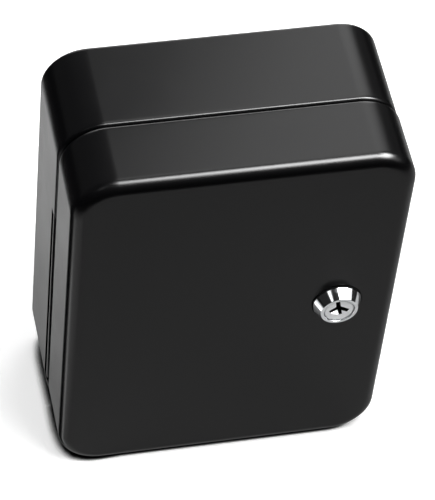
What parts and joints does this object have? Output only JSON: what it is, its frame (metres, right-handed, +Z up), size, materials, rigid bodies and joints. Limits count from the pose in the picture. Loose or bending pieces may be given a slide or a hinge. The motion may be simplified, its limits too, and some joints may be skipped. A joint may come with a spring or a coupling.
{
  "type": "key cabinet",
  "caption": "Small black steel key cabinet with rounded corners, a deep hinged door, a cam lock and rows of key hooks inside.",
  "frame": {"origin": "middle of the base of the box that holds the shut cabinet, lock bezel included", "axes": "+Z up, +Y towards the wall, the door looks to -Y, hinge on the -X side and lock on the +X side"},
  "size_m": [0.1504, 0.0856, 0.2],
  "materials": {
    "black_powder_coat": "satin black powder coat",
    "zinc_plated_steel": "bright zinc plating",
    "chrome_plated_zinc": "polished chrome plating",
    "satin_chrome": "satin chrome plating",
    "black_washer": "matt black"
  },
  "bodies": {
    "case": {"case_shell": "black_powder_coat", "hook_rail_1": "zinc_plated_steel", "hook_rail_2": "zinc_plated_steel", "hook_rail_3": "zinc_plated_steel", "hook_rail_4": "zinc_plated_steel", "rail_1_rivet_left": "zinc_plated_steel", "rail_1_rivet_right": "zinc_plated_steel", "rail_2_rivet_left": "zinc_plated_steel", "rail_2_rivet_right": "zinc_plated_steel", "rail_3_rivet_left": "zinc_plated_steel", "rail_3_rivet_right": "zinc_plated_steel", "rail_4_rivet_left": "zinc_plated_steel", "rail_4_rivet_right": "zinc_plated_steel", "hinge_leaf_case": "black_powder_coat", "hinge_pin": "zinc_plated_steel"},
    "door": {"door_shell": "black_powder_coat", "hinge_leaf_door": "black_powder_coat", "lock_body": "chrome_plated_zinc", "lock_gasket": "black_washer", "lock_nut": "zinc_plated_steel"},
    "plug": {"lock_plug": "satin_chrome", "stop_washer": "zinc_plated_steel", "lock_cam": "zinc_plated_steel", "cam_washer": "zinc_plated_steel", "cam_screw": "zinc_plated_steel"}
  },
  "joints": [
    {"name": "door_hinge", "type": "hinge", "parent": "case", "child": "door", "pos_m": [-0.07205, 0.00065, 0.08], "axis": [0, 0, -1], "range_deg": [0, 95]},
    {"name": "lock_turn", "type": "hinge", "parent": "door", "child": "plug", "pos_m": [0.04775, -0.03725, 0.1035], "axis": [0, -1, 0], "range_deg": [0, 90]}
  ]
}
